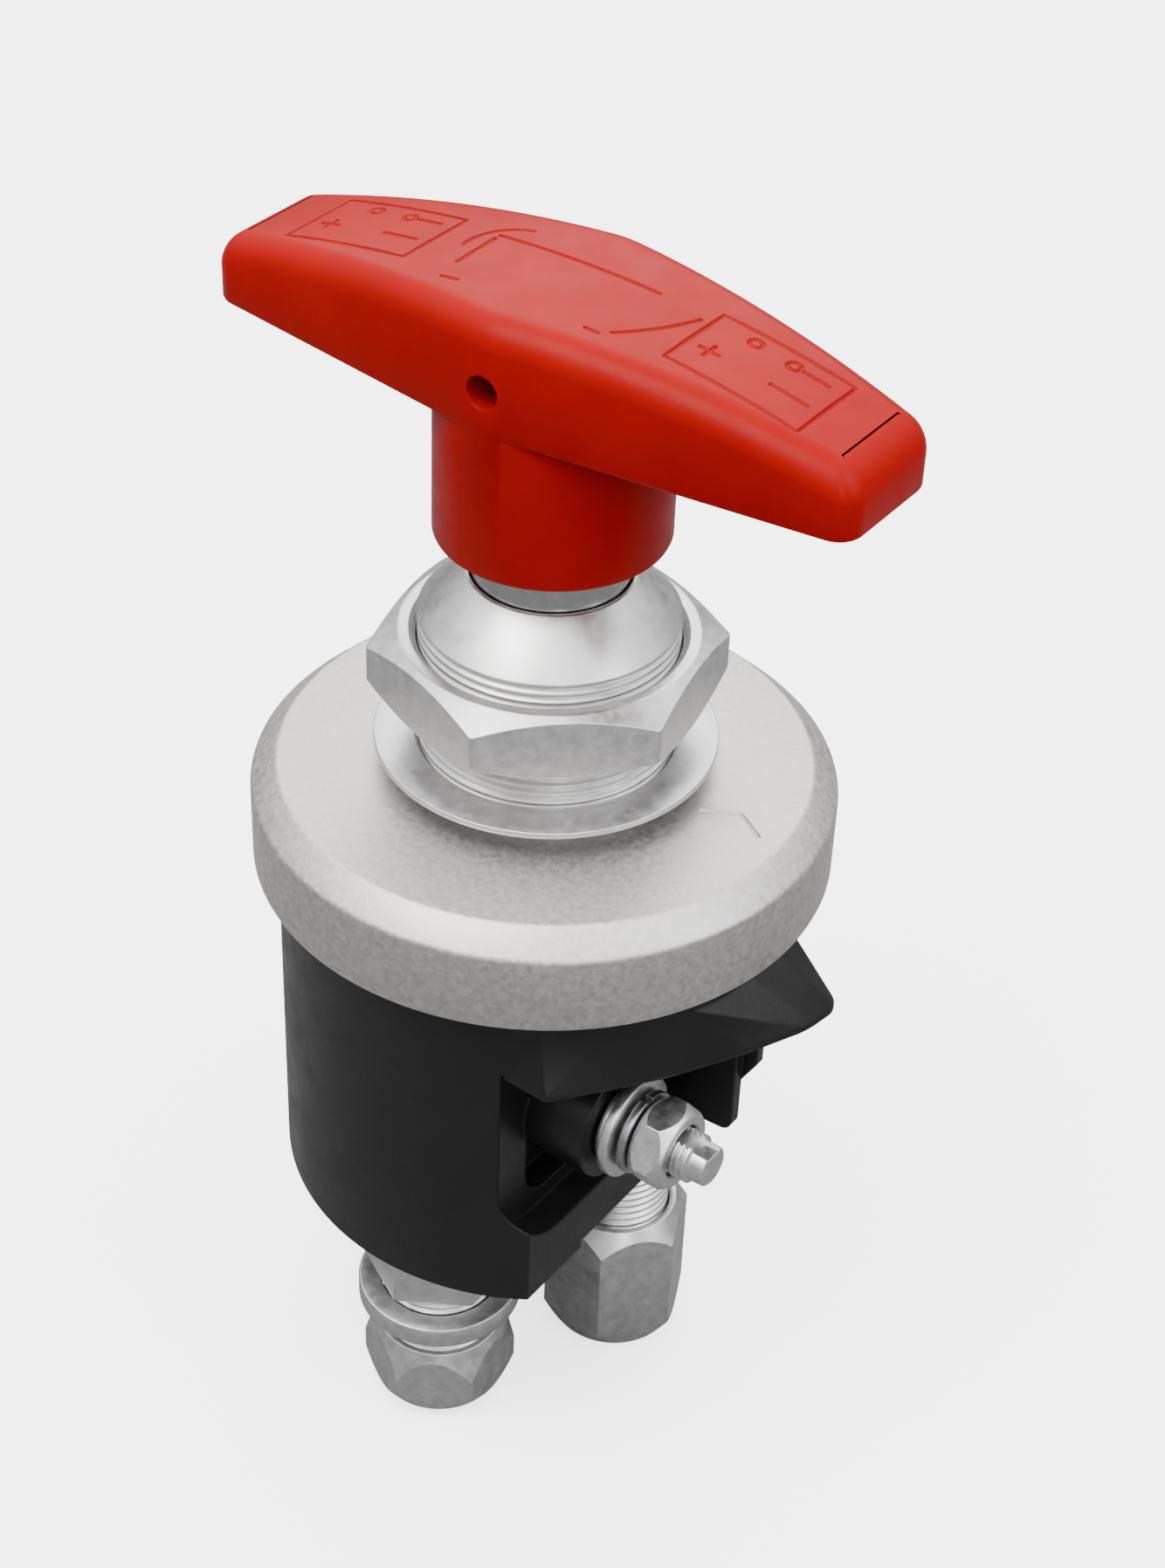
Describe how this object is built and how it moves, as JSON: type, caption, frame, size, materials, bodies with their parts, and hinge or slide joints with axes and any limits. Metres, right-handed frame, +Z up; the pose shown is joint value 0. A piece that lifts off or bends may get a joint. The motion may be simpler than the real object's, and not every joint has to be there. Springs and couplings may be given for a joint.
{
  "type": "battery isolator switch",
  "caption": "Panel-mounted rotary battery isolator switch with a T-shaped handle, steel cover and panel nut, insulated terminal studs under hoods, and two threaded cable fittings below.",
  "frame": {"origin": "on the switch axis, level with the face of the steel cover flange that seats against the panel's underside", "axes": "+Z up the switch axis towards the handle; +X along the handle's length at rest and along terminal stud A; terminal stud B points along +Y"},
  "size_m": [0.108, 0.0954, 0.1971],
  "materials": {
    "red_plastic": "satin moulded red plastic",
    "steel": "satin machined steel",
    "zinc_steel": "bright zinc-plated steel",
    "black_plastic": "satin black moulded plastic",
    "grey_plastic": "grey moulded plastic",
    "copper": "bare copper alloy",
    "spring_steel": "spring steel",
    "rubber": "black rubber"
  },
  "bodies": {
    "housing": {"body_housing": "black_plastic", "cover_flange": "steel", "cover_gasket": "rubber", "threaded_bushing": "steel", "thrust_washer": "grey_plastic", "base_plate": "black_plastic", "base_screw_1": "zinc_steel", "base_screw_2": "zinc_steel", "base_screw_3": "zinc_steel", "base_screw_4": "zinc_steel", "fixed_contact_a": "copper", "fixed_contact_b": "copper", "terminal_stud_a": "zinc_steel", "terminal_stud_b": "zinc_steel", "stud_base_washer_a": "zinc_steel", "stud_base_washer_b": "zinc_steel", "flat_washer_a": "zinc_steel", "flat_washer_b": "zinc_steel", "lock_washer_a": "spring_steel", "lock_washer_b": "spring_steel", "terminal_nut_a": "zinc_steel", "terminal_nut_b": "zinc_steel", "gland_body": "zinc_steel", "gland_ring": "zinc_steel", "gland_seal": "rubber", "outlet_nipple": "zinc_steel", "contact_spring": "spring_steel"},
    "handle": {"t_handle": "red_plastic", "handle_pin": "spring_steel", "spindle": "steel", "shaft_oring_1": "rubber", "shaft_oring_2": "rubber", "cam_rotor": "grey_plastic", "cam_circlip": "spring_steel"},
    "carriage": {"contact_carriage": "grey_plastic", "contact_bridge": "copper"},
    "panel_nut": {"panel_nut": "zinc_steel"},
    "panel_washer": {"panel_washer": "zinc_steel"},
    "gland_cap": {"gland_cap_nut": "zinc_steel"},
    "coupling": {"coupling_nut": "zinc_steel"}
  },
  "joints": [
    {"name": "handle_turn", "type": "hinge", "parent": "housing", "child": "handle", "pos_m": [0, 0, 0.05], "axis": [0, 0, -1], "range_deg": [0, 90]},
    {"name": "contact_close", "type": "slide", "parent": "housing", "child": "carriage", "axis": [0, 0, -1], "range_m": [0, 0.003], "deforming": ["contact_spring"]},
    {"name": "panel_nut_travel", "type": "slide", "parent": "housing", "child": "panel_nut", "axis": [0, 0, 1], "range_m": [-0.0072, 0.003]},
    {"name": "panel_washer_travel", "type": "slide", "parent": "housing", "child": "panel_washer", "axis": [0, 0, 1], "range_m": [0, 0.0072]},
    {"name": "gland_cap_turn", "type": "hinge", "parent": "housing", "child": "gland_cap", "pos_m": [0, -0.0257, -0.1067], "axis": [0, 0, 1], "range_deg": [0, 360]},
    {"name": "coupling_nut_turn", "type": "hinge", "parent": "housing", "child": "coupling", "pos_m": [0.0144, 0.0051, -0.1017], "axis": [0, 0, 1], "continuous": true}
  ],
  "couplings": [
    {"joint": "contact_close", "follows": "handle_turn", "m_per_rad": 0.0019099}
  ]
}
